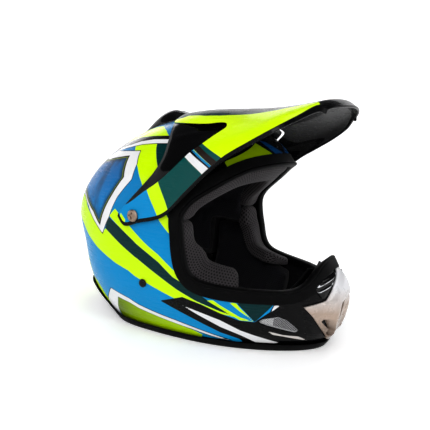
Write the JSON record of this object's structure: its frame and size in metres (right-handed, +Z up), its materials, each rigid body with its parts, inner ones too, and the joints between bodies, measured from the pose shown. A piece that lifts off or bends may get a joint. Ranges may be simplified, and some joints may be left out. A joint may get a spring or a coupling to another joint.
{
  "type": "motocross helmet",
  "caption": "Full-face off-road helmet with a long tilting peak, open eye port, pointed chin bar with vents, padded lining and a strap with metal rings.",
  "frame": {"origin": "bottom centre of the whole helmet's bounding box, in the plane of the lower rim it stands on", "axes": "+Z up, -Y the way the face looks, +X the wearer's left"},
  "size_m": [0.2676, 0.3712, 0.295],
  "materials": {
    "shell_paint": "gloss clear coat over printed bands",
    "peak_paint": "gloss",
    "silver_paint": "satin metallic",
    "black_gloss": "gloss",
    "black_plastic": "moulded",
    "rubber": "matte",
    "foam": "expanded beads",
    "lining": "brushed",
    "mesh_fabric": "open knitted mesh",
    "wire_mesh": "fine grille",
    "webbing": "woven",
    "steel": "plated"
  },
  "bodies": {
    "helmet": {"outer_shell": "shell_paint", "impact_liner": "foam", "chin_bar_foam": "foam", "comfort_liner": "lining", "cheek_pad_right": "mesh_fabric", "cheek_pad_left": "mesh_fabric", "neck_roll": "lining", "eye_port_trim": "rubber", "lower_rim_trim": "rubber", "muzzle_cover": "silver_paint", "mouth_vent_grille": "black_plastic", "nose_vent_right": "black_gloss", "nose_vent_left": "black_gloss", "nose_guard": "black_plastic", "chin_vent_mesh_right": "wire_mesh", "chin_vent_mesh_left": "wire_mesh", "rear_vent_mesh_right": "wire_mesh", "rear_vent_mesh_left": "wire_mesh", "crown_vent_scoop": "black_gloss", "peak_screw_right": "steel", "peak_washer_right": "rubber", "peak_insert_right": "steel", "strap_rivet_right": "black_gloss", "peak_screw_left": "steel", "peak_washer_left": "rubber", "peak_insert_left": "steel", "strap_rivet_left": "black_gloss", "strap_anchor_right": "steel", "strap_anchor_left": "steel", "chin_strap_right": "webbing", "chin_strap_left": "webbing", "snap_socket": "black_plastic", "snap_stud": "steel"},
    "peak": {"peak": "peak_paint", "peak_scoop_right": "black_gloss", "peak_scoop_left": "black_gloss"},
    "strap_rings": {"d_ring_lower": "steel", "d_ring_upper": "steel"}
  },
  "joints": [
    {"name": "peak_tilt", "type": "hinge", "parent": "helmet", "child": "peak", "pos_m": [0, 0.03757, 0.145], "axis": [1, 0, 0], "range_deg": [-4, 5]},
    {"name": "ring_swing", "type": "hinge", "parent": "helmet", "child": "strap_rings", "pos_m": [0.046, 0.02257, 0.0098], "axis": [0, 1, 0], "range_deg": [0, 100]}
  ]
}
